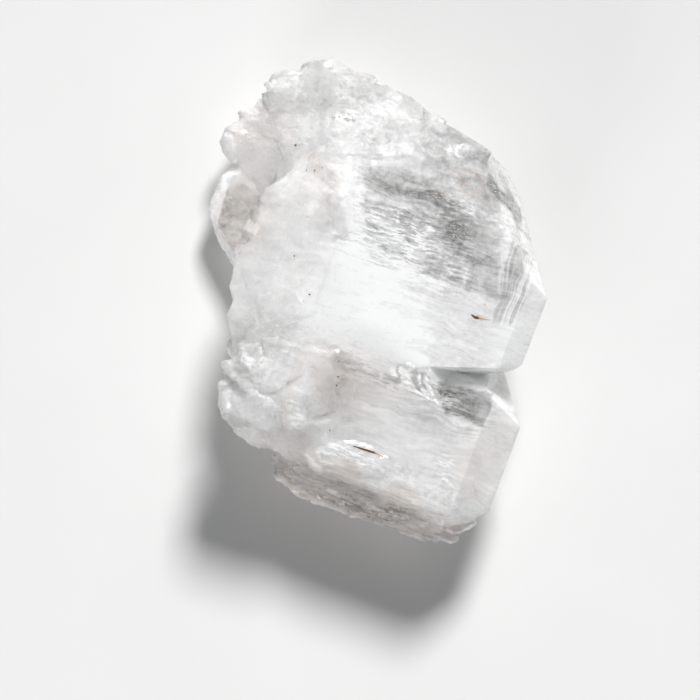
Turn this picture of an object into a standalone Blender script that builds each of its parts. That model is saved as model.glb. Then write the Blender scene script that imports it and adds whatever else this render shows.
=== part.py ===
"""Faden quartz: one intergrown plate of clear-to-milky quartz crystals, 70 mm long.

Faden quartz grows as flat crystals standing side by side across an old crack, all with the
same lattice. The model is built in the lattice's own frame, in millimetres: u runs along the
crystals' long axis (the c-axis), v across them and w up from the face the piece rests on.
Every crystal is cut from a blank by its six prism sides (numbered 0 to 5, 0 facing up, each
60 degrees on from the last, 1 leaning towards +v) and by the end faces that cap them. The
joined piece is then turned to lie with its longest side along Y, set on its flat underside
and brought to metres.
"""

import math
import random
from dataclasses import dataclass, field

import bmesh
import bpy
from mathutils import Matrix, Vector
from mathutils.bvhtree import BVHTree

# ---- Lattice of quartz ----
SIDES = 6
SIDE_STEP = math.radians(60.0)
END_FACE_LEAN = math.radians(51.8)      # between the c-axis and the normal of an end face
AXIS_AZIMUTH = math.radians(-21.0)      # the c-axis seen from above, from +X
LEFT, RIGHT = -1, 1                     # which end of the c-axis

# ---- Driving dimensions, mm ----
MM = 0.001
BLANK = 160.0                           # block that every crystal is cut from
BURIED = 6.0                            # how far the crystals reach below the resting face
BROAD_TOP = 20.5                        # flat top of the broad crystal
LONG_TOP = 17.8                         # flat top of the long crystal in front of it
STEP_TOP = 20.3                         # top of the step between the two, under the broad one
CREST = (-12.1, 4.0, 24.1)              # highest point (u, v, w) of the ridge
CREST_FRONT = (-9.1, -5.7, 23.9)        # where the ridge's crest ends, towards the front
CREST_BACK = (-13.0, 7.6, 24.0)         # where the crest starts to fall towards the back
RIDGE_END = 18.0                        # height of the ridge crystal's left edge
LOW_TOP = 7.8                           # flat top of the low crystals at the left
REST_HEIGHT = 0.0                       # of the flat face that the piece lies on
WELD = 0.0003                           # points closer than this are one point
SLIVER = 0.004                          # a cut this close to a point goes through it
SEED = 38                               # of the small crystals' places and sizes
CUTTER_RISE = 1.2                       # share of a scoop's depth that its cutter stands proud
SIDE_SPREAD = (0.75, 1.2)               # a small crystal's side distances, as shares of girth
END_SPREAD = (0.15, 0.65)               # and how far its end faces stand past their own middle

# ---- Finish ----
QUARTZ_COLOUR = (0.80, 0.80, 0.79, 1.0)
QUARTZ_ROUGHNESS = 0.22
QUARTZ_IOR = 1.544
QUARTZ_CLARITY = 0.75


def side_normal(number):
    """Outward normal of a prism side."""
    angle = number * SIDE_STEP
    return Vector((0.0, math.sin(angle), math.cos(angle)))


def end_normal(end, number):
    """Outward normal of the face that caps a side at one end of the crystal."""
    return (side_normal(number) * math.sin(END_FACE_LEAN)
            + Vector((end * math.cos(END_FACE_LEAN), 0.0, 0.0)))


def facet(first, second, third):
    """The upward plane through three points of a facet, as a point and a normal."""
    first, second, third = Vector(first), Vector(second), Vector(third)
    normal = (second - first).cross(third - first)
    return first, normal if normal.z > 0 else -normal


@dataclass
class Crystal:
    """A crystal given by a point (v, w) on each side and (u, v, w) on each end face."""

    name: str
    sides: dict
    ends: dict
    misfit: tuple = (0.0, 0.0)          # degrees about w and about v
    breaks: list = field(default_factory=list)   # (point, normal) of broken faces

    def planes(self):
        """Every face as a point and an outward normal."""
        for number, (v, w) in self.sides.items():
            yield Vector((0.0, v, w)), side_normal(number)
        for (end, number), point in self.ends.items():
            yield Vector(point), end_normal(end, number)
        for point, normal in self.breaks:
            yield Vector(point), Vector(normal).normalized()


# Slopes of old fracture: the far side of the piece, and its left end.
FAR_SLOPE = (Vector((-11.0, 18.5, BROAD_TOP)), Vector((-0.185, 0.572, 0.799)))
LEFT_SLOPE = (Vector((-14.0, 12.0, 20.2)), Vector((-0.66, 0.12, 0.74)))

BROAD = Crystal(
    "broad",
    sides={0: (0, BROAD_TOP), 1: (21.6, BROAD_TOP), 2: (25.2, 13.2), 3: (0, -BURIED)},
    ends={(RIGHT, 0): (19.84, 0, BROAD_TOP), (RIGHT, 1): (19.84, 9.98, BROAD_TOP),
          (RIGHT, 2): (13.0, 21.9, 10.3), (RIGHT, 3): (22.9, 0, 18.09),
          (RIGHT, 5): (22.9, -1.6, 18.09), (RIGHT, 4): (22.9, -1.6, 17.2)},
    breaks=[((-13.5, 0, BROAD_TOP), (-0.80, 0.0, 0.60)), ((-17.0, 0, 0), (-1.0, 0.0, -0.2)),
            FAR_SLOPE,
            ((6.7, -7.8, BROAD_TOP), (-0.134, -0.99, 0.18)),
            ((6.7, -7.8, BROAD_TOP), (0.33, -0.94, 0.18))],
)
LONG = Crystal(
    "long",
    sides={0: (0, LONG_TOP), 1: (-6.5, LONG_TOP), 3: (0, -BURIED), 4: (-30.0, 9.7),
           5: (-25.3, LONG_TOP)},
    ends={(RIGHT, 0): (20.7, 0, LONG_TOP), (RIGHT, 1): (20.7, -7.7, LONG_TOP),
          (RIGHT, 3): (26.0, 0, 13.6), (RIGHT, 5): (20.7, -25.1, LONG_TOP),
          (RIGHT, 2): (23.0, -6.0, 8.0), (RIGHT, 4): (22.6, -27.4, 8.5),
          (LEFT, 0): (-11.0, 0, LONG_TOP), (LEFT, 5): (-4.8, -27.6, 9.0),
          (LEFT, 4): (-4.8, -27.8, 8.4), (LEFT, 3): (-13.0, 0, 9.0)},
    misfit=(0.6, 0.0),
)
RIDGE = Crystal(
    "ridge",
    sides={1: (14.5, 20.0), 3: (0, 1.0), 5: (-10.5, 22.0)},
    ends={(LEFT, 2): (-17.8, 9.0, 11.7), (LEFT, 3): (-20.6, 0, RIDGE_END),
          (LEFT, 5): (-19.6, -6.3, RIDGE_END), (LEFT, 4): (-18.0, -10.0, 14.0),
          (RIGHT, 3): (-4.0, 0, 15.0), (RIGHT, 5): (-7.5, -6.5, BROAD_TOP)},
    misfit=(-0.8, 0.4),
    breaks=[facet(CREST, CREST_FRONT, (-20.4, -2.8, RIDGE_END)),
            facet(CREST, CREST_FRONT, (-9.0, 6.3, BROAD_TOP)),
            facet(CREST_BACK, (-16.4, 13.6, 19.6), (-9.6, 9.6, 21.6)),
            facet(CREST_BACK, (-20.0, 6.5, 18.8), (-16.4, 13.6, 19.6))],
)
RIDGE_BACK = Crystal(
    "ridge_back",
    sides={1: (18.0, 20.6), 5: (5.0, 20.0), 3: (0, 4.0)},
    ends={(LEFT, 1): (-18.6, 11.5, 18.6), (LEFT, 3): (-18.8, 0, 16.5),
          (RIGHT, 0): (-11.6, 0, 21.0), (RIGHT, 1): (-11.4, 14.0, BROAD_TOP)},
    misfit=(1.5, 0.6),
    breaks=[facet((-12.2, 6.0, 22.2), (-12.0, 15.0, 20.6), (-18.0, 10.0, 18.6))],
)
RIDGE_FRONT = Crystal(
    "ridge_front",
    sides={0: (0, 22.9), 3: (0, 1.5), 1: (4.0, 20.0), 5: (-15.5, 21.0), 4: (-17.0, 15.0)},
    ends={(LEFT, 0): (-17.4, 0, 19.0), (LEFT, 3): (-18.2, 0, 17.4), (RIGHT, 0): (-5.4, 0, 19.6),
          (LEFT, 5): (-17.4, -11.4, 18.6), (RIGHT, 5): (-5.0, -11.5, 19.6)},
    misfit=(-2.0, 1.2),
)
UNDER_STEP = Crystal(
    "under_step",
    sides={0: (0, STEP_TOP), 1: (-2.0, STEP_TOP), 3: (0, 1.0), 5: (-12.6, 17.0)},
    ends={(RIGHT, 0): (10.6, 0, STEP_TOP), (RIGHT, 3): (14.0, 0, 15.0), (LEFT, 0): (-12.0, 0, STEP_TOP),
          (LEFT, 3): (-14.0, 0, 16.0)},
    misfit=(0.4, -0.3),
    breaks=[facet((-6.0, -6.6, STEP_TOP), (6.7, -7.6, STEP_TOP), (2.5, -10.2, LONG_TOP))],
)
BACK_STEP = Crystal(
    "back_step",
    sides={0: (0, 20.2), 1: (22.6, 20.2), 2: (25.0, 14.0), 3: (0, 3.0), 5: (18.4, 19.0)},
    ends={(RIGHT, 0): (15.0, 0, 20.2), (RIGHT, 1): (10.4, 19.6, 20.2), (RIGHT, 2): (9.8, 24.2, 11.0),
          (RIGHT, 3): (14.0, 0, 12.0), (LEFT, 0): (-2.0, 0, 20.2), (LEFT, 3): (-4.0, 0, 17.0)},
    misfit=(-0.7, 0.5),
)
LOW = Crystal(
    "low",
    sides={0: (0, LOW_TOP), 1: (12.0, LOW_TOP), 3: (0, -BURIED), 5: (-5.5, LOW_TOP)},
    ends={(LEFT, 0): (-25.4, 0, LOW_TOP), (LEFT, 1): (-26.2, 8.6, LOW_TOP),
          (LEFT, 2): (-26.4, 9.6, 4.6), (LEFT, 3): (-27.3, 0, 6.3),
          (LEFT, 5): (-23.0, -0.2, 6.4), (LEFT, 4): (-23.6, 0.0, 3.6),
          (RIGHT, 0): (-6.0, 0, LOW_TOP)},
    misfit=(1.0, -0.6),
)
SIDE_TIP = Crystal(
    "side_tip",
    sides={0: (0, 8.6), 1: (16.6, 7.0), 3: (0, -BURIED), 5: (11.4, 7.0)},
    ends={(LEFT, 0): (-27.6, 0, 8.6), (LEFT, 1): (-28.9, 15.4, 7.0), (LEFT, 3): (-29.3, 0, 7.2),
          (LEFT, 5): (-28.6, 12.2, 7.2), (LEFT, 4): (-28.6, 12.2, 6.0),
          (RIGHT, 0): (-10.0, 0, 8.6)},
    misfit=(-1.4, 0.8),
)
HEAD_TOP = Crystal(
    "head_top",
    sides={0: (0, 23.3), 1: (-11.0, 22.0), 3: (0, 2.0), 5: (-18.6, 22.0), 4: (-20.5, 15.0)},
    ends={(LEFT, 0): (-11.6, 0, 23.3), (LEFT, 3): (-14.0, 0, 19.0), (LEFT, 1): (-12.0, -12.4, 22.6),
          (RIGHT, 0): (-5.6, 0, 23.0), (RIGHT, 1): (-5.6, -13.4, 22.6)},
    misfit=(2.2, -1.0),
)
HEAD_RIGHT = Crystal(
    "head_right",
    sides={0: (0, 21.6), 1: (-9.4, 20.8), 3: (0, 2.0), 5: (-19.4, 20.6), 4: (-20.5, 15.0)},
    ends={(RIGHT, 0): (-2.4, 0, 21.6), (RIGHT, 1): (-2.0, -12.0, 20.8), (RIGHT, 5): (-2.0, -17.6, 20.6),
          (LEFT, 0): (-9.0, 0, 21.6), (LEFT, 3): (-10.0, 0, 19.0)},
    misfit=(-2.4, 1.4),
)
HEAD_LEFT = Crystal(
    "head_left",
    sides={0: (0, 20.6), 1: (-12.6, 19.6), 3: (0, 6.0), 5: (-18.0, 19.6)},
    ends={(LEFT, 0): (-14.6, 0, 20.6), (LEFT, 3): (-16.4, 0, 18.8), (LEFT, 1): (-15.6, -14.6, 19.4),
          (LEFT, 5): (-15.8, -17.0, 19.2), (RIGHT, 0): (-8.0, 0, 20.6)},
    misfit=(3.0, 2.0),
)
HEAD_FRONT = Crystal(
    "head_front",
    sides={0: (0, 21.5), 1: (-17.0, 21.0), 3: (0, 5.0), 5: (-23.2, 20.4), 4: (-25.3, 15.5)},
    ends={(LEFT, 0): (-13.2, 0, 21.5), (LEFT, 3): (-15.6, 0, 18.2), (LEFT, 1): (-14.4, -18.8, 20.8),
          (LEFT, 5): (-14.0, -22.0, 20.6), (LEFT, 4): (-14.4, -23.0, 17.0),
          (RIGHT, 0): (-7.6, 0, 21.5)},
    misfit=(-1.6, -2.0),
)
HEAD_CORNER = Crystal(
    "head_corner",
    sides={0: (0, 22.2), 1: (-16.6, 21.4), 3: (0, 3.0), 5: (-23.0, 20.6), 4: (-25.0, 14.0)},
    ends={(LEFT, 0): (-8.6, 0, 22.2), (LEFT, 3): (-10.0, 0, 19.0),
          (RIGHT, 0): (-3.4, 0, 21.8), (RIGHT, 1): (-2.6, -17.6, 21.0),
          (RIGHT, 5): (-2.6, -22.0, 20.6)},
    misfit=(1.8, 1.6),
)

WHOLE_CRYSTALS = [LONG, UNDER_STEP, RIDGE, RIDGE_BACK, RIDGE_FRONT, BACK_STEP, LOW, SIDE_TIP,
                  HEAD_TOP, HEAD_RIGHT, HEAD_LEFT, HEAD_FRONT, HEAD_CORNER]

# The rim (u, v) that the broken far side falls away to.
FAR_RIM = [(8.0, 24.6), (1.6, 27.2), (-3.3, 28.6), (-8.1, 30.1), (-16.6, 30.8), (-20.9, 28.9),
           (-24.4, 24.9), (-27.0, 19.3), (-28.6, 13.6), (-26.2, 10.2)]
RIM_UNDERCUT = 0.45                     # how far the wall under the rim leans in, per mm down
FAR_TOP = 20.35                         # flat top of the broken block, in the broad crystal
FAR_RIGHT = 8.0                         # where the block ends inside the broad crystal
CORNER_SLOPE = ((-20.0, 10.6, 9.6), (-0.42, -0.40, 0.82))   # down to the low crystals


def height_on(slope, u, v):
    """Height of a sloping plane above (u, v)."""
    point, normal = slope
    return point.z - (normal.x * (u - point.x) + normal.y * (v - point.y)) / normal.z


def far_side():
    """The broken block at the far side, walled by one undercut plane under each stretch of rim."""
    walls = []
    for (u0, v0), (u1, v1) in zip(FAR_RIM, FAR_RIM[1:]):
        u, v = (u0 + u1) / 2, (v0 + v1) / 2
        w = min(height_on(FAR_SLOPE, u, v), height_on(LEFT_SLOPE, u, v))
        across = Vector((v1 - v0, u0 - u1, 0.0)).normalized()
        walls.append(((u, v, w), across - Vector((0.0, 0.0, RIM_UNDERCUT))))
    caps = [((0, 0, FAR_TOP), (0, 0, 1)), ((0, 0, -BURIED), (0, 0, -1)),
            ((FAR_RIGHT, 0, 0), (1, 0, 0)), CORNER_SLOPE]
    return Crystal("far_side", sides={}, ends={(RIGHT, 3): (19.0, 0, 16.5)},
                   breaks=[FAR_SLOPE, LEFT_SLOPE] + walls + caps)


@dataclass
class Patch:
    """A field of small crystals seated on the surface, found by looking at the piece from one
    side: towards aim, across a spread to either side of it."""

    name: str
    aim: tuple                          # (u, v, w) at the middle of the field
    look: tuple                         # direction from the surface to the onlooker
    spread: tuple                       # half width along u, half width across
    count: int
    length: tuple                       # shortest and longest, along u
    girth: tuple                        # least and greatest distance from axis to side
    stands: tuple                       # least and greatest height above the surface
    lean: float = 2.5                   # degrees of misfit


PATCHES = [
    Patch("left_terraces", (-17.5, 19.0, 13.0), (-0.35, 0.2, 0.9), (4.5, 6.5), 14, (3.0, 7.0),
          (1.0, 2.4), (0.1, 0.3), 5.0),
    Patch("left_slope", (-22.5, 19.5, 13.0), (-0.35, 0.25, 0.9), (5.5, 8.5), 16, (1.5, 4.0),
          (0.7, 1.6), (0.05, 0.25)),
    Patch("left_rim", (-25.0, 20.0, 8.0), (-0.8, 0.5, 0.25), (6.0, 7.0), 16, (2.0, 6.0), (1.0, 2.6),
          (0.05, 0.4)),
    Patch("far_slope", (-9.0, 24.5, 16.0), (-0.2, 0.6, 0.8), (9.0, 3.0), 8, (5.0, 10.0),
          (1.5, 3.2), (0.08, 0.25), 2.0),
    Patch("far_rim", (-8.0, 29.0, 12.0), (0.1, 0.95, 0.25), (13.0, 4.0), 16, (3.0, 8.0), (0.8, 2.2),
          (0.1, 0.45)),
    Patch("head_end", (-15.0, -18.0, 17.0), (-0.8, -0.1, 0.5), (6.0, 6.0), 12, (1.5, 4.5),
          (1.0, 2.4), (0.15, 0.55)),
    Patch("head_skirt", (-8.0, -23.5, 16.0), (-0.1, -0.85, 0.4), (6.0, 4.5), 12, (2.0, 6.0),
          (1.0, 2.4), (0.15, 0.5)),
    Patch("head_crown", (-9.0, -17.0, 22.0), (-0.1, -0.1, 1.0), (6.5, 7.0), 9, (2.5, 6.0),
          (1.2, 2.8), (0.1, 0.35), 5.0),
    Patch("scarp", (3.0, -9.0, 18.6), (0.0, -0.5, 0.87), (8.0, 1.3), 18, (1.5, 5.0), (0.4, 0.9),
          (0.05, 0.2), 2.5),
    Patch("front_band", (9.5, -28.5, 11.0), (0.0, -0.87, 0.5), (11.0, 5.0), 30, (4.0, 12.0),
          (0.7, 1.7), (0.15, 0.6), 1.2),
    Patch("front_foot", (6.0, -26.0, 4.0), (0.0, -0.87, -0.45), (8.0, 4.0), 14, (4.0, 10.0),
          (0.8, 2.0), (0.2, 0.6), 1.5),
    Patch("front_tip", (22.6, -26.6, 11.0), (0.2, -0.8, 0.5), (1.4, 1.2), 4, (3.0, 5.0), (1.0, 1.6),
          (0.4, 1.0)),
    Patch("low_end", (-23.0, 8.0, 6.0), (-0.7, 0.3, 0.6), (3.0, 4.0), 6, (1.5, 4.0), (0.7, 1.5),
          (0.1, 0.3)),
    Patch("far_foot", (-2.0, 18.0, 3.0), (0.1, 0.9, -0.5), (12.0, 4.0), 14, (3.0, 9.0), (0.9, 2.4),
          (0.3, 0.9)),
    Patch("left_foot", (-18.0, 8.0, 3.0), (-0.9, 0.0, -0.3), (3.0, 10.0), 12, (2.0, 6.0), (0.9, 2.0),
          (0.3, 0.9)),
]


@dataclass
class Scoop:
    """A shell-shaped hollow left by a flake: a shallow bowl seen from one side."""

    aim: tuple                          # (u, v, w) near the surface
    look: tuple
    across: float                       # radius of the bowl
    depth: float                        # of the bowl at its middle


SCOOPS = [
    Scoop((-14.6, 16.9, 20.0), (-0.2, 0.4, 0.9), 3.4, 0.35),
    Scoop((-4.2, -17.4, 22.0), (0.4, -0.45, 0.8), 3.0, 0.6),
    Scoop((1.0, -8.6, 19.2), (-0.1, -0.5, 0.86), 3.6, 0.3),
    Scoop((9.0, -8.6, 19.2), (0.3, -0.5, 0.86), 2.6, 0.3),
    Scoop((-1.5, 28.6, 14.5), (0.3, 0.7, 0.65), 4.6, 0.8),
    Scoop((-14.5, 30.4, 11.6), (0.0, 0.7, 0.7), 4.4, 0.8),
    Scoop((-22.6, 26.4, 10.5), (-0.5, 0.5, 0.7), 3.6, 0.7),
    Scoop((3.6, 26.2, 16.0), (0.5, 0.5, 0.7), 2.8, 0.6),
    Scoop((-16.4, -12.8, 20.0), (-0.9, 0.2, 0.4), 2.6, 0.7),
    Scoop((-15.6, -21.0, 19.6), (-0.8, -0.3, 0.5), 2.8, 0.7),
    Scoop((21.2, -3.4, 18.4), (0.5, -0.6, 0.6), 1.4, 0.4),
    Scoop((24.6, -25.0, 11.0), (0.6, -0.7, 0.4), 1.8, 0.4),
    Scoop((-10.2, -1.5, 24.0), (0.4, 0.0, 0.9), 1.8, 0.35),
]


def cut_off(bm, point, normal):
    """Takes away all that lies beyond a plane and closes the cut."""
    cut = bmesh.ops.bisect_plane(bm, geom=bm.verts[:] + bm.edges[:] + bm.faces[:], dist=SLIVER,
                                 plane_co=point, plane_no=normal, clear_outer=True)
    rim = [item for item in cut["geom_cut"] if isinstance(item, bmesh.types.BMEdge)]
    if rim:
        bmesh.ops.holes_fill(bm, edges=rim, sides=0)


def cut_from_blank(planes, turn=Matrix()):
    """A convex solid: the blank cut by every plane, as a bmesh."""
    bm = bmesh.new()
    bmesh.ops.create_cube(bm, size=BLANK)
    for point, normal in planes:
        cut_off(bm, point, normal)
    bmesh.ops.transform(bm, matrix=turn, verts=bm.verts)
    bmesh.ops.recalc_face_normals(bm, faces=bm.faces)
    return bm


def to_object(bm, name, collection):
    """Puts a bmesh into a collection as an object of its own."""
    mesh = bpy.data.meshes.new(name)
    bm.to_mesh(mesh)
    bm.free()
    thing = bpy.data.objects.new(name, mesh)
    collection.objects.link(thing)
    return thing


def new_collection(name):
    """A collection for the solids that one Boolean takes."""
    collection = bpy.data.collections.new(name)
    bpy.context.scene.collection.children.link(collection)
    return collection


def misfit_turn(middle, about_w, about_v):
    """A small turn about a point: degrees about w, then about v."""
    return (Matrix.Translation(middle) @ Matrix.Rotation(math.radians(about_w), 4, "Z")
            @ Matrix.Rotation(math.radians(about_v), 4, "Y") @ Matrix.Translation(-middle))


def grow(crystal, collection):
    """The solid of a whole crystal, turned by its misfit about its own middle."""
    planes = list(crystal.planes())
    middle = sum((point for point, _ in planes), Vector()) / len(planes)
    return to_object(cut_from_blank(planes, misfit_turn(middle, *crystal.misfit)), crystal.name,
                     collection)


def small_crystal(half_length, girth, lean, rng):
    """A stubby quartz crystal about the origin, each side and end at a distance of its own."""
    planes = []
    for number in range(SIDES):
        normal = side_normal(number)
        planes.append((normal * girth * rng.uniform(*SIDE_SPREAD), normal))
        for end in (LEFT, RIGHT):
            normal = end_normal(end, number)
            reach = half_length * math.cos(END_FACE_LEAN) + girth * rng.uniform(*END_SPREAD)
            planes.append((normal * reach, normal))
    turn = misfit_turn(Vector(), rng.uniform(-lean, lean), rng.uniform(-lean, lean))
    return cut_from_blank(planes, turn)


def looked_at(skin, aim, look, offset=(0.0, 0.0)):
    """The point of the surface that a straight look meets, and its normal."""
    look = Vector(look).normalized()
    across = look.cross(Vector((1.0, 0.0, 0.0))).normalized()
    along = across.cross(look)
    start = Vector(aim) + along * offset[0] + across * offset[1] + look * BLANK / 2
    point, normal, _, _ = skin.ray_cast(start, -look)
    return point, normal


def grow_patch(patch, skin, collection, rng):
    """Seats a field of small crystals, each sunk until only its share of height stands out."""
    for count in range(patch.count):
        offset = [rng.uniform(-half, half) for half in patch.spread]
        point, normal = looked_at(skin, patch.aim, patch.look, offset)
        crystal = small_crystal(rng.uniform(*patch.length) / 2, rng.uniform(*patch.girth),
                                patch.lean, rng)
        height = rng.uniform(*patch.stands)
        if point is None:
            crystal.free()
            continue
        reach = max(vert.co.dot(normal) for vert in crystal.verts)
        seat = Matrix.Translation(point + normal * (height - reach))
        bmesh.ops.transform(crystal, matrix=seat, verts=crystal.verts)
        to_object(crystal, f"{patch.name}_{count}", collection)


def scoop_cutter(scoop, skin, collection, number):
    """The flattened ball whose underside leaves the bowl."""
    look = Vector(scoop.look).normalized()
    point, _ = looked_at(skin, scoop.aim, look)
    if point is None:
        point = Vector(scoop.aim)
    radius = (scoop.across ** 2 + scoop.depth ** 2) / (2 * scoop.depth)
    bm = bmesh.new()
    bmesh.ops.create_icosphere(bm, subdivisions=3, radius=radius)
    top = scoop.depth * (1 + CUTTER_RISE) - radius
    cut_off(bm, Vector((0, 0, top)), Vector((0, 0, 1)))
    place = (Matrix.Translation(point + look * (radius - scoop.depth))
             @ look.to_track_quat("Z", "Y").to_matrix().to_4x4())
    bmesh.ops.transform(bm, matrix=place, verts=bm.verts)
    bmesh.ops.recalc_face_normals(bm, faces=bm.faces)
    return to_object(bm, f"scoop_{number}", collection)


def combine(mesh_object, collection, operation):
    """Gives an object the mesh left by a Boolean with everything in a collection, and removes
    the collection."""
    modifier = mesh_object.modifiers.new(operation.lower(), "BOOLEAN")
    modifier.operation = operation
    modifier.operand_type = "COLLECTION"
    modifier.collection = collection
    modifier.solver = "EXACT"
    graph = bpy.context.evaluated_depsgraph_get()
    result = bpy.data.meshes.new_from_object(mesh_object.evaluated_get(graph))
    mesh_object.modifiers.remove(modifier)
    mesh_object.data = result
    for helper in list(collection.objects):
        bpy.data.objects.remove(helper, do_unlink=True)
    bpy.data.collections.remove(collection)


def skin_of(mesh_object):
    """A search tree of the object's surface, for looks."""
    bm = bmesh.new()
    bm.from_mesh(mesh_object.data)
    tree = BVHTree.FromBMesh(bm)
    bm.free()
    return tree


def keep_largest_shell(bm):
    """Deletes every loose shell but the one with most faces."""
    left = set(bm.faces)
    shells = []
    while left:
        shell, to_visit = [], [left.pop()]
        while to_visit:
            face = to_visit.pop()
            shell.append(face)
            beside = {other for edge in face.edges for other in edge.link_faces} & left
            left -= beside
            to_visit.extend(beside)
        shells.append(shell)
    shells.sort(key=len)
    for shell in shells[:-1]:
        bmesh.ops.delete(bm, geom=shell, context="FACES")


def finish(mesh_object):
    """Cuts the resting face, cleans the mesh, and lays the piece in its own frame in metres,
    with its origin under its middle."""
    bm = bmesh.new()
    bm.from_mesh(mesh_object.data)
    cut_off(bm, Vector((0, 0, REST_HEIGHT)), Vector((0, 0, -1)))
    bmesh.ops.remove_doubles(bm, verts=bm.verts, dist=WELD)
    keep_largest_shell(bm)
    bmesh.ops.transform(bm, matrix=Matrix.Rotation(AXIS_AZIMUTH, 4, "Z"), verts=bm.verts)
    spans = [[vert.co[axis] for vert in bm.verts] for axis in range(3)]
    foot = Vector(((min(spans[0]) + max(spans[0])) / 2, (min(spans[1]) + max(spans[1])) / 2,
                   min(spans[2])))
    bmesh.ops.transform(bm, matrix=Matrix.Scale(MM, 4) @ Matrix.Translation(-foot), verts=bm.verts)
    bmesh.ops.triangulate(bm, faces=bm.faces)
    bmesh.ops.recalc_face_normals(bm, faces=bm.faces)
    bm.to_mesh(mesh_object.data)
    bm.free()


def quartz_material():
    """Clear quartz with milky veils: pale grey, mostly see-through, satin where it is frosted."""
    material = bpy.data.materials.new("milky_quartz")
    material.use_nodes = True
    shader = material.node_tree.nodes["Principled BSDF"]
    shader.inputs["Base Color"].default_value = QUARTZ_COLOUR
    shader.inputs["Metallic"].default_value = 0.0
    shader.inputs["Roughness"].default_value = QUARTZ_ROUGHNESS
    shader.inputs["IOR"].default_value = QUARTZ_IOR
    shader.inputs["Transmission Weight"].default_value = QUARTZ_CLARITY
    material.diffuse_color = QUARTZ_COLOUR
    return material


def main():
    for thing in list(bpy.data.objects):
        bpy.data.objects.remove(thing, do_unlink=True)
    rng = random.Random(SEED)
    crystals = new_collection("crystals")
    for crystal in WHOLE_CRYSTALS + [far_side()]:
        grow(crystal, crystals)
    quartz = grow(BROAD, bpy.context.scene.collection)
    quartz.name = "faden_quartz"
    combine(quartz, crystals, "UNION")
    growths = new_collection("growths")
    skin = skin_of(quartz)
    for patch in PATCHES:
        grow_patch(patch, skin, growths, rng)
    combine(quartz, growths, "UNION")
    flakes = new_collection("flakes")
    skin = skin_of(quartz)
    for number, scoop in enumerate(SCOOPS):
        scoop_cutter(scoop, skin, flakes, number)
    combine(quartz, flakes, "DIFFERENCE")
    finish(quartz)
    quartz.data.materials.clear()
    quartz.data.materials.append(quartz_material())


if __name__ == "__main__":
    main()
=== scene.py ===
"""Looks of a faden quartz: a plate of clear to milky quartz crystals grown side by side.

Everything is in metres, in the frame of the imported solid. Places on the plate are given in the
crystals' own axes, in millimetres: s runs along their common long axis (the c-axis), t runs
across it and z runs up from the resting face.
"""

import logging
import math
from dataclasses import dataclass
from enum import Enum

import bmesh
import bpy
import numpy as np
from bpy.types import ID, Material, Mesh, NodeSocket, NodeTree, Object, World
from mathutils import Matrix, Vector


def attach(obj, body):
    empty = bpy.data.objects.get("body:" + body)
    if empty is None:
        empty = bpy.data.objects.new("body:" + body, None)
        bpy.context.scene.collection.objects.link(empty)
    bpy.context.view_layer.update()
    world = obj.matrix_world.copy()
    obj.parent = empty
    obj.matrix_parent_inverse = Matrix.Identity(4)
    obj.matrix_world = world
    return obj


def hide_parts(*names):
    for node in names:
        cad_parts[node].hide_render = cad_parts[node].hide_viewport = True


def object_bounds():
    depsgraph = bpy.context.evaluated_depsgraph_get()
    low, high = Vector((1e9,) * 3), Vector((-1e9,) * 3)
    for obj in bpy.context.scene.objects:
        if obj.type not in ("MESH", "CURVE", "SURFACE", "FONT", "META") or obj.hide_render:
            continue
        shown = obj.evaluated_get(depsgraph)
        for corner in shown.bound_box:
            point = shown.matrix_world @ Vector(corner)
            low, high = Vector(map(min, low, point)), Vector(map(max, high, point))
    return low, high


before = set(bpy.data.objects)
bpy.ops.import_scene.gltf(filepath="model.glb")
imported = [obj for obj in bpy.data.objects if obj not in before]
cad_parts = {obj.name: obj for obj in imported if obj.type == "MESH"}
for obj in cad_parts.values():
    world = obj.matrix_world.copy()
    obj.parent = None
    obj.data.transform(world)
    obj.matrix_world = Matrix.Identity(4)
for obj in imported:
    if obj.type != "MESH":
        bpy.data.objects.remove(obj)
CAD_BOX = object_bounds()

Array = np.ndarray
log = logging.getLogger("faden_quartz")

MM = 0.001
TINY = 1e-12  # keeps a division clear of zero
NODE = "faden_quartz"
BODY = "root"

# Faces with straight edges, seen from above: (s, t) corners in millimetres, clockwise.
LOW_TOP = ((-26.0, 7.5), (-24.1, 9.0), (-20.4, 7.8), (-19.9, 0.7), (-21.9, -0.4), (-25.2, 1.3))
FRONT_TOP = ((-7.6, -6.0), (12.3, -6.6), (19.0, -8.0), (19.7, -13.9), (0.9, -21.1), (-7.6, -9.7))
TIP_FACE = ((15.2, 15.1), (18.4, 13.6), (20.1, 7.8), (18.9, 3.5), (16.6, 3.1), (15.2, 11.8))


class Slot(Enum):
    """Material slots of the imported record."""

    QUARTZ = "quartz"
    IRON = "iron_stain"


# ---- Small tools -----------------------------------------------------------------------------


def linear(hex_code: str) -> tuple:
    """The linear red, green, blue and alpha of an sRGB colour given as six hex digits."""
    shares = [int(hex_code[place:place + 2], 16) / 255 for place in (0, 2, 4)]
    return tuple(s / 12.92 if s <= 0.04045 else ((s + 0.055) / 1.055) ** 2.4 for s in shares) + (1,)


def add_node(tree: NodeTree, kind: str, inputs: dict | None = None, out: str | int = 0,
             **settings) -> NodeSocket | None:
    """Adds a node with its settings, values and links.

    Args:
        tree: The node tree of a material, a world or a modifier.
        kind: Blender's name for the node type.
        inputs: Value, or output socket to link from, for each input by name or number.
        out: Name or number of the output that is used.
        **settings: Properties of the node.

    Returns:
        That output, if the node has any.
    """
    node = tree.nodes.new(kind)
    for name, value in settings.items():
        setattr(node, name, value)
    for name, value in (inputs or {}).items():
        if isinstance(value, NodeSocket):
            tree.links.new(value, node.inputs[name])
        else:
            node.inputs[name].default_value = value
    return node.outputs[out] if node.outputs else None


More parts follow.
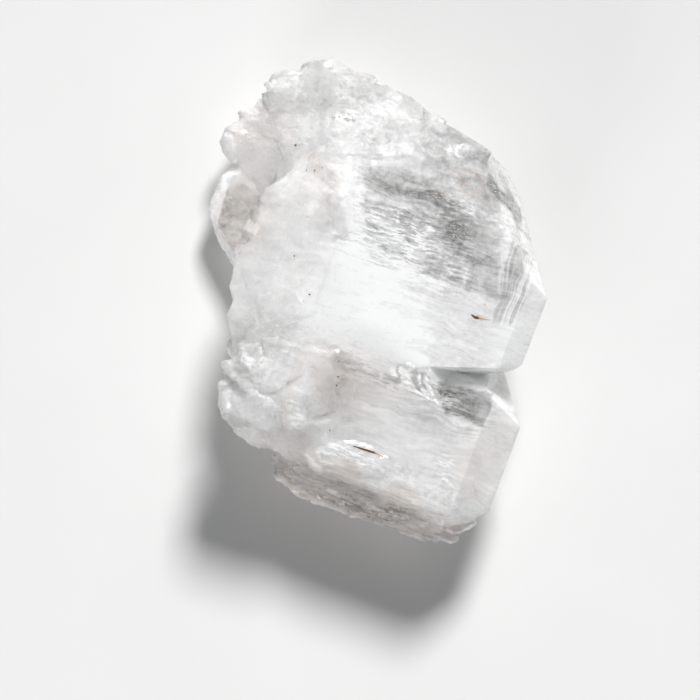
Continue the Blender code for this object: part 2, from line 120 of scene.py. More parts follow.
def emptied(owner: Material | World) -> NodeTree:
    """Gives a material or a world an empty node tree."""
    owner.use_nodes = True
    owner.node_tree.nodes.clear()
    return owner.node_tree


def eased(value: Array, start: float, end: float) -> Array:
    """Runs from 0 at start to 1 at end along the curve 3x^2 - 2x^3, and holds both ends."""
    held = np.clip((value - start) / (end - start), 0, 1)
    return held * held * (3 - 2 * held)


def hashed(cells: Array, seed: int) -> Array:
    """A fixed random number for each cell of a lattice, mixed from its place by large numbers.

    Args:
        cells: N by 3 whole numbers.
        seed: Picks the pattern.

    Returns:
        One number for each cell, from -1 to 1.
    """
    mixed = (cells[:, 0] * 73856093 ^ cells[:, 1] * 19349663 ^ cells[:, 2] * 83492791
             ^ seed * 40503)
    mixed = (mixed ^ (mixed >> 13)) * 1274126177
    return ((mixed ^ (mixed >> 16)) & 0xFFFF) / 32767.5 - 1


def lattice_noise(points: Array, seed: int) -> Array:
    """Smooth noise: a hashed number at each corner of a unit lattice, blended between corners.

    The blend along each axis is 6x^5 - 15x^4 + 10x^3.

    Args:
        points: N by 3 places, in lattice cells.
        seed: Picks the pattern.

    Returns:
        N values from -1 to 1.
    """
    cell = np.floor(points).astype(np.int64)
    part = points - cell
    part = part ** 3 * (part * (part * 6 - 15) + 10)
    total = np.zeros(len(points))
    for corner in np.ndindex(2, 2, 2):
        total += hashed(cell + corner, seed) * np.prod(np.where(corner, part, 1 - part), axis=1)
    return total


def layered_noise(points: Array, seed: int, layers: int) -> Array:
    """Sum of lattice noises, each layer twice as fine and half as strong as the last."""
    return sum(lattice_noise(points * 2 ** n, seed + n) / 2 ** n for n in range(layers))


def cell_facets(points: Array, seed: int, jitter: float = 0.45) -> Array:
    """Broken ground of small flat facets.

    Each cell of a jittered lattice is a plane with a random slope: the height is the offset
    from the nearest cell's middle, dotted with that cell's slope.

    Args:
        points: N by 3 places, in lattice cells.
        seed: Picks the pattern.
        jitter: How far a cell's middle strays.

    Returns:
        N heights, mostly from -1 to 1.
    """
    cell = np.floor(points).astype(np.int64)
    nearest = np.full(len(points), np.inf)
    height = np.zeros(len(points))
    for step in np.ndindex(3, 3, 3):
        at = cell + np.array(step) - 1
        draws = np.stack([hashed(at, seed + n) for n in range(6)], axis=1)
        offset = points - at - 0.5 - jitter * draws[:, :3]
        far = np.einsum("ij,ij->i", offset, offset)
        height = np.where(far < nearest, np.einsum("ij,ij->i", offset, draws[:, 3:]), height)
        nearest = np.minimum(far, nearest)
    return height


@dataclass(frozen=True)
class CrystalAxes:
    """The lattice that all the crystals share: s along the c-axis, t across, z up."""

    azimuth: float = math.radians(-21.0)

    def turn(self) -> Array:
        """The three axes as rows, in the row frame."""
        cosine, sine = math.cos(self.azimuth), math.sin(self.azimuth)
        return np.array([[cosine, sine, 0], [-sine, cosine, 0], [0, 0, 1]])

    def inside(self, places: Array) -> Array:
        """Row-frame metres to (s, t, z) in millimetres."""
        return places @ self.turn().T / MM

    def outside(self, stz: Array) -> Array:
        """(s, t, z) in millimetres to row-frame metres."""
        return stz @ self.turn() * MM


AXES = CrystalAxes()


@dataclass(frozen=True)
class Zone:
    """A soft-edged ellipse on the plate, seen from above, in millimetres."""

    s: float
    t: float
    along: float  # half its length and half its width
    across: float
    strength: float = 1.0
    turn: float = 0.0  # degrees from the c-axis
    soft: float = 0.9  # width of its edge, as a share of its size

    def share(self, stz: Array) -> Array:
        """Strength at each place: full inside, easing to 0 across the soft edge.

        Args:
            stz: Places in the crystals' axes.

        Returns:
            One strength for each place.
        """
        cosine, sine = math.cos(math.radians(self.turn)), math.sin(math.radians(self.turn))
        ds, dt = stz[:, 0] - self.s, stz[:, 1] - self.t
        reach = np.hypot((ds * cosine + dt * sine) / self.along,
                         (dt * cosine - ds * sine) / self.across)
        return self.strength * eased(reach, 1 + self.soft / 2, 1 - self.soft / 2)


@dataclass(frozen=True)
class Patch:
    """A straight-edged patch on the plate, seen from above, such as one crystal's top."""

    corners: tuple  # (s, t) in millimetres, clockwise and convex
    strength: float
    soft: float = 0.3  # width of its edge in millimetres

    def share(self, stz: Array) -> Array:
        """Strength at each place: an eased step over the distance inside the nearest edge.

        Args:
            stz: Places in the crystals' axes.

        Returns:
            One strength for each place.
        """
        corners = np.array(self.corners)
        along = np.roll(corners, -1, axis=0) - corners
        along /= np.linalg.norm(along, axis=1, keepdims=True)
        offset = stz[:, None, :2] - corners
        inside = (offset[:, :, 0] * along[:, 1] - offset[:, :, 1] * along[:, 0]).min(axis=1)
        return self.strength * eased(inside, -self.soft / 2, self.soft / 2)


def warped(stz: Array, amount_mm: float = 1.6, pitch_mm: float = 4.5, seed: int = 71) -> Array:
    """Places shifted by noise, so that a zone read at them has an irregular outline."""
    shift = [lattice_noise(stz / pitch_mm, seed + axis) for axis in range(3)]
    return stz + amount_mm * np.stack(shift, axis=1)


def add_up(zones: tuple, stz: Array, start: float | Array = 0.0) -> Array:
    """Adds the zones' strengths to a start value, held from 0 to 1."""
    return np.clip(start + sum(zone.share(stz) for zone in zones), 0, 1)


@dataclass(frozen=True)
class Coat:
    """A value painted on the plate's vertices, from 0 to 1, for its finish to read."""

    name: str
    start: float  # what it is where no zone or patch reaches
    zones: tuple = ()
    patches: tuple = ()

    def over(self, far: Array, near: Array) -> Array:
        """Its value, with zones read at the far-straying places and patches at the near."""
        return add_up(self.patches, near, add_up(self.zones, far, self.start))


def summed(rows: Array, at: Array, count: int) -> Array:
    """Sorts rows into count bins by the bin numbers in at, and sums each bin."""
    return np.column_stack([np.bincount(at, weights=row, minlength=count) for row in rows.T])


def relaxed(places: Array, quads: Array, share: Array, pulls: tuple) -> Array:
    """Moves vertices towards the mean of their neighbours, or away from it.

    Args:
        places: Vertex places.
        quads: Corners of each quad.
        share: How far each vertex takes part, from 0 to 1.
        pulls: For each round, the share of the way to the mean.

    Returns:
        The new places.
    """
    ends = np.concatenate([quads[:, [k, (k + 1) % 4]] for k in range(4)])
    ends = ends[share[ends[:, 0]] > 0]
    uses = np.maximum(np.bincount(ends[:, 0], minlength=len(places)), 1)[:, None]
    for pull in pulls:
        mean = summed(places[ends[:, 1]], ends[:, 0], len(places)) / uses
        places = places + pull * share[:, None] * (mean - places)
    return places


def new_object(name: str, data: ID) -> Object:
    """Links a mesh, a lamp or a camera into the scene, as an object at the origin."""
    thing = bpy.data.objects.new(name, data)
    bpy.context.scene.collection.objects.link(thing)
    return thing


def mesh_from_arrays(name: str, places: Array, faces: Array) -> Mesh:
    """Makes a mesh from whole arrays.

    Args:
        name: The mesh's name.
        places: N by 3 vertex places.
        faces: F by 3 or F by 4 vertex numbers.

    Returns:
        The mesh.
    """
    mesh = bpy.data.meshes.new(name)
    mesh.from_pydata(places, [], faces, shade_flat=False)
    mesh.validate()
    return mesh


def paint(mesh: Mesh, name: str, values: Array) -> None:
    """Stores one number for each vertex under a name that a material can read."""
    mesh.attributes.new(name, "FLOAT", "POINT").data.foreach_set("value", values.astype(np.float32))


def read_places(mesh: Mesh) -> Array:
    """All vertex places as an N by 3 array."""
    places = np.empty(len(mesh.vertices) * 3)
    mesh.vertices.foreach_get("co", places)
    return places.reshape(-1, 3)


# ---- Finishes --------------------------------------------------------------------------------


@dataclass(frozen=True)
class Ramp:
    """A straight line from low at start to high at end, held level past both."""

    start: float = 0.0
    end: float = 1.0
    low: float = 0.0
    high: float = 1.0

    def of(self, value: NodeSocket) -> dict:
        """The inputs of a Map Range node that reads a value off the line."""
        return {"Value": value, "From Min": self.start, "From Max": self.end,
                "To Min": self.low, "To Max": self.high}


@dataclass(frozen=True)
class Grain:
    """Noise with round blots of a real size."""

    size_mm: float
    detail: float = 2.0  # how many finer layers it has
    roughness: float = 0.5  # strength of each layer over that of the last

    def of(self, place: NodeSocket) -> dict:
        """The inputs of a Noise Texture node that draws it."""
        return {"Vector": place, "Scale": 1 / (self.size_mm * MM), "Detail": self.detail,
                "Roughness": self.roughness}


@dataclass(frozen=True)
class Streaks:
    """Noise whose blots are drawn out along the c-axis or across it."""

    size_mm: tuple  # size of a blot along the c-axis, across it and up
    detail: float
    levels: Ramp = Ramp(0.36, 0.64, -0.5, 0.5)  # what the noise, which is around 0.5, becomes
    stray_mm: float = 2.2  # how far the blots wander from straight lines
    sway: Grain = Grain(5.0, 1.0)  # how they wander
    turn: float = math.radians(3.0)  # they lie this far off the c-axis
    roughness: float = 0.6

    def add(self, tree: NodeTree, place: NodeSocket) -> NodeSocket:
        """Adds the nodes that draw the blots.

        The place is shifted by a coarse noise, turned to the c-axis and divided by the size of
        a blot, and another noise is read there.

        Args:
            tree: Node tree of the material.
            place: Object coordinates.

        Returns:
            The noise at its levels.
        """
        sway = add_node(tree, "ShaderNodeTexNoise", self.sway.of(place), "Color")
        shift = add_node(tree, "ShaderNodeVectorMath", {0: sway, 1: (0.5, 0.5, 0.5)},
                         operation="SUBTRACT")
        swayed = add_node(tree, "ShaderNodeVectorMath", {
            0: shift, 1: (self.stray_mm * MM,) * 3, 2: place}, operation="MULTIPLY_ADD")
        turned = add_node(tree, "ShaderNodeMapping", {
            "Vector": swayed, "Rotation": (0, 0, AXES.azimuth + self.turn),
            "Scale": tuple(size * MM for size in self.size_mm)}, vector_type="TEXTURE")
        noise = add_node(tree, "ShaderNodeTexNoise", {
            "Vector": turned, "Scale": 1.0, "Detail": self.detail, "Roughness": self.roughness})
        return add_node(tree, "ShaderNodeMapRange", self.levels.of(noise))


def weighed_sum(tree: NodeTree, total: float | NodeSocket, pairs: list) -> NodeSocket:
    """Adds the product of every pair of values to a total.

    Args:
        tree: Node tree of the material.
        total: The value to start from.
        pairs: Pairs of values or sockets.

    Returns:
        The sum.
    """
    for value, weight in pairs:
        total = add_node(tree, "ShaderNodeMath", {0: value, 1: weight, 2: total},
                         operation="MULTIPLY_ADD")
    return total


@dataclass(frozen=True)
class Finish:
    """What a surface is made of. Each kind says what goes into its material's output node."""

    name: str

    def make(self) -> Material:
        """Makes the finish's material.

        Returns:
            The material, with its nodes.
        """
        material = bpy.data.materials.new(self.name)
        tree = emptied(material)
        add_node(tree, "ShaderNodeOutputMaterial", self.ends(tree))
        return material

    def ends(self, tree: NodeTree) -> dict:
        """Adds the finish's nodes and gives the sockets that the output node takes."""
        raise NotImplementedError


@dataclass(frozen=True)
class GrownQuartz(Finish):
    """Rock crystal with grown faces: glassy, partly etched to a frost, with milky clouds.

    Plain transmission with quartz's index of 1.544 gives the glassy depth. Where the crystal is
    milky or frosted, a share of the light scatters at the surface and reads as soft white. The
    clouds are streaked along the c-axis by healed cracks. The finish reads what the piece
    paints on its vertices.
    """

    name: str = "quartz_grown_face"
    clear: str = "FCFCFC"
    smoky: str = "DED3CB"
    rust: str = "BE8A55"
    absorbed: str = "DCD8D2"
    density: float = 3.0  # per metre: a clear crystal 50 mm long stays clear
    index: float = 1.544
    through: Ramp = Ramp(low=0.93, high=0.02)  # light let through, from clear to milky
    rough: Ramp = Ramp(low=0.05, high=0.60)  # from glassy to frosted
    pitted: Ramp = Ramp(low=0.06, high=0.60)  # how far the etch figures show, likewise
    glow_mm: float = 2.2  # how far light spreads in the milky share
    cloud: Grain = Grain(6.0, 4.0, 0.55)
    cloudy: Ramp = Ramp(0.3, 0.7, -0.17, 0.17)
    speck: Grain = Grain(0.7, 4.0, 0.55)
    speckled: Ramp = Ramp(0.3, 0.7, -0.5, 0.5)
    speck_share: float = 0.34  # how far specks make the crystal milky
    band: Streaks = Streaks((14.0, 1.7, 3.0), 2.0)  # healed zones
    streak: Streaks = Streaks((3.6, 0.50, 1.5), 3.0)
    # The dashes are partly single white cracks and partly painted glints: white marks where the
    # crystal sparkles in light.
    dash: Streaks = Streaks((1.7, 0.40, 0.8), 5.0, Ramp(0.50, 0.60), 0.9)  # single white cracks
    dashed: Ramp = Ramp(0.42, 0.58, 0.45, 1.0)  # how strong dashes are, by the clouds
    rung: Streaks = Streaks((0.55, 14.0, 14.0), 2.0, Ramp(0.42, 0.58, -0.5, 0.5))  # growth steps
    etch: Grain = Grain(0.5, 3.0, 0.6)  # etch figures, drawn coarser than the real ones
    pit_mm: float = 0.18  # their depth
    stain_share: float = 0.9  # how far they hold the stain
    stained: Ramp = Ramp(0.72, 1.15, 0.0, 0.85)

    def milkiness(self, tree: NodeTree, place: NodeSocket, specks: NodeSocket) -> NodeSocket:
        """How milky the surface looks.

        The painted milk is the base. Painted uneven brings in clouds and specks, lines brings
        in bands and streaks along the c-axis, glints brings in short white dashes that paint
        glints of light, and rungs brings in growth steps across the c-axis.

        Args:
            tree: Node tree of the material.
            place: Object coordinates.
            specks: The fine specks.

        Returns:
            0 where clear to 1 where fully milky, and past both.
        """
        milk, uneven, lines, glints, rungs = (
            add_node(tree, "ShaderNodeAttribute", out="Fac", attribute_name=name)
            for name in ("milk", "uneven", "lines", "glints", "rungs"))
        clouds = add_node(tree, "ShaderNodeTexNoise", self.cloud.of(place))
        blots, thick = (add_node(tree, "ShaderNodeMapRange", line.of(clouds))
                        for line in (self.cloudy, self.dashed))
        bands, streaks, dashes, steps = (
            kind.add(tree, place) for kind in (self.band, self.streak, self.dash, self.rung))
        return weighed_sum(tree, milk, [
            (weighed_sum(tree, blots, [(specks, self.speck_share)]), uneven), (bands, lines),
            (streaks, lines), (weighed_sum(tree, 0.0, [(dashes, thick)]), glints), (steps, rungs)])

    def ends(self, tree: NodeTree) -> dict:
        """Adds the nodes of the etched surface and of what the quartz absorbs.

        Args:
            tree: Node tree of the material.

        Returns:
            The sockets that the output node takes.
        """
        frost, smoke, stain = (
            add_node(tree, "ShaderNodeAttribute", out="Fac", attribute_name=name)
            for name in ("frost", "smoke", "stain"))
        place = add_node(tree, "ShaderNodeTexCoord", out="Object")
        etch, specks = (add_node(tree, "ShaderNodeTexNoise", grain.of(place))
                        for grain in (self.etch, self.speck))
        specks = add_node(tree, "ShaderNodeMapRange", self.speckled.of(specks))
        milky = self.milkiness(tree, place, specks)
        dusk = weighed_sum(tree, smoke, [(specks, frost)])
        spots = weighed_sum(tree, stain, [(etch, self.stain_share)])
        through, rough, pitted, rusty = (
            add_node(tree, "ShaderNodeMapRange", line.of(value))
            for line, value in ((self.through, milky), (self.rough, frost), (self.pitted, frost),
                                (self.stained, spots)))
        colour = linear(self.clear)
        for share, shade in ((dusk, self.smoky), (rusty, self.rust)):
            colour = add_node(tree, "ShaderNodeMix", {
                "Factor": share, 6: colour, 7: linear(shade)}, 2, data_type="RGBA")
        bump = add_node(tree, "ShaderNodeBump", {
            "Strength": pitted, "Distance": self.pit_mm * MM, "Height": etch})
        surface = add_node(tree, "ShaderNodeBsdfPrincipled", {
            "Base Color": colour, "Roughness": rough, "IOR": self.index,
            "Transmission Weight": through, "Normal": bump,
            "Subsurface Weight": 1.0, "Subsurface Radius": (1.0, 1.0, 1.0),
            "Subsurface Scale": self.glow_mm * MM})
        absorb = add_node(tree, "ShaderNodeVolumeAbsorption", {
            "Color": linear(self.absorbed), "Density": self.density})
        return {"Surface": surface, "Volume": absorb}


@dataclass(frozen=True)
class PearlyCrack(Finish):
    """Healed crack inside quartz: a film of fluid that mirrors light like mother of pearl.

    It is all but a mirror, slightly dulled, so that each flake is white or grey by how it lies.
    """

    name: str = "quartz_healed_crack"
    bright: str = "FBFBFA"
    dull: str = "E2E2E0"
    roughness: float = 0.30
    metallic: float = 0.75

    def ends(self, tree: NodeTree) -> dict:
        """Adds the nodes, with each flake a shade of its own by its painted shade.

        Args:
            tree: Node tree of the material.

        Returns:
            The socket that the output node takes.
        """
        shade = add_node(tree, "ShaderNodeAttribute", out="Fac", attribute_name="shade")
        colour = add_node(tree, "ShaderNodeMix", {
            "Factor": shade, 6: linear(self.dull), 7: linear(self.bright)}, 2, data_type="RGBA")
        return {"Surface": add_node(tree, "ShaderNodeBsdfPrincipled", {
            "Base Color": colour, "Roughness": self.roughness, "Metallic": self.metallic})}


@dataclass(frozen=True)
class IronOxide(Finish):
    """Iron oxide grown in cracks of the quartz: dull rust, near black where it is thick."""

    name: str = "iron_oxide_rust"
    thick: str = "3A1A08"
    thin: str = "BC8440"
    roughness: float = 0.75
    blot: Grain = Grain(0.5, 3.0)
    blot_share: float = 0.8  # how far the blots thin it
    thinned: Ramp = Ramp(0.3, 1.2)
    bump: float = 0.4  # how far the blots stand out
    bump_mm: float = 0.05

    def ends(self, tree: NodeTree) -> dict:
        """Adds the nodes, from thick to thin by the painted thinness and the blots.

        Args:
            tree: Node tree of the material.

        Returns:
            The socket that the output node takes.
        """
        thin = add_node(tree, "ShaderNodeAttribute", out="Fac", attribute_name="thin")
        place = add_node(tree, "ShaderNodeTexCoord", out="Object")
        blots = add_node(tree, "ShaderNodeTexNoise", self.blot.of(place))
        share = add_node(tree, "ShaderNodeMapRange", self.thinned.of(
            weighed_sum(tree, thin, [(blots, self.blot_share)])))
        colour = add_node(tree, "ShaderNodeMix", {
            "Factor": share, 6: linear(self.thick), 7: linear(self.thin)}, 2, data_type="RGBA")
        bump = add_node(tree, "ShaderNodeBump", {
            "Strength": self.bump, "Distance": self.bump_mm * MM, "Height": blots})
        return {"Surface": add_node(tree, "ShaderNodeBsdfPrincipled", {
            "Base Color": colour, "Roughness": self.roughness, "Normal": bump})}


@dataclass(frozen=True)
class PaintedFloor(Finish):
    """Matt white board that fills the background, with a faint unevenness of its coat."""

    name: str = "matt_white_board"
    pale: str = "E8E8E7"
    shade: str = "E2E2E1"
    coat: Grain = Grain(25.0)
    roughness: float = 0.9
    specular: float = 0.1  # less than a glossy coat's 0.5

    def ends(self, tree: NodeTree) -> dict:
        """Adds the nodes.

        Args:
            tree: Node tree of the material.

        Returns:
            The socket that the output node takes.
        """
        place = add_node(tree, "ShaderNodeTexCoord", out="Object")
        coat = add_node(tree, "ShaderNodeTexNoise", self.coat.of(place))
        colour = add_node(tree, "ShaderNodeMix", {
            "Factor": coat, 6: linear(self.pale), 7: linear(self.shade)}, 2, data_type="RGBA")
        return {"Surface": add_node(tree, "ShaderNodeBsdfPrincipled", {
            "Base Color": colour, "Roughness": self.roughness,
            "Specular IOR Level": self.specular})}


# ---- The plate of crystals -------------------------------------------------------------------


@dataclass(frozen=True)
class Shell:
    """A shell-shaped scar left by a flake, in millimetres, deepest at one side of its rim."""

    s: float
    t: float
    radius: float
    depth: float
    turn: float  # degrees from the c-axis to the deep side
    rim: float = 0.12  # width of the step at the rim, over the radius
    ripple_mm: float = 0.9  # from one ring to the next
    ripple: float = 0.12  # height of the rings over the depth

    def height(self, stz: Array) -> Array:
        """Height of the scar, which is 0 outside its rim.

        It is the depth times a ramp that falls to the deep side, with rings a ripple apart.

        Args:
            stz: Places in the crystals' axes.

        Returns:
            One height for each place, in millimetres.
        """
        ds, dt = stz[:, 0] - self.s, stz[:, 1] - self.t
        reach = np.hypot(ds, dt)
        toward = math.radians(self.turn)
        ramp = 0.5 + 0.5 * (ds * math.cos(toward) + dt * math.sin(toward)) / self.radius
        rings = 1 + self.ripple * np.cos(2 * np.pi * reach / self.ripple_mm)
        return -self.depth * ramp * rings * eased(reach / self.radius, 1, 1 - self.rim)


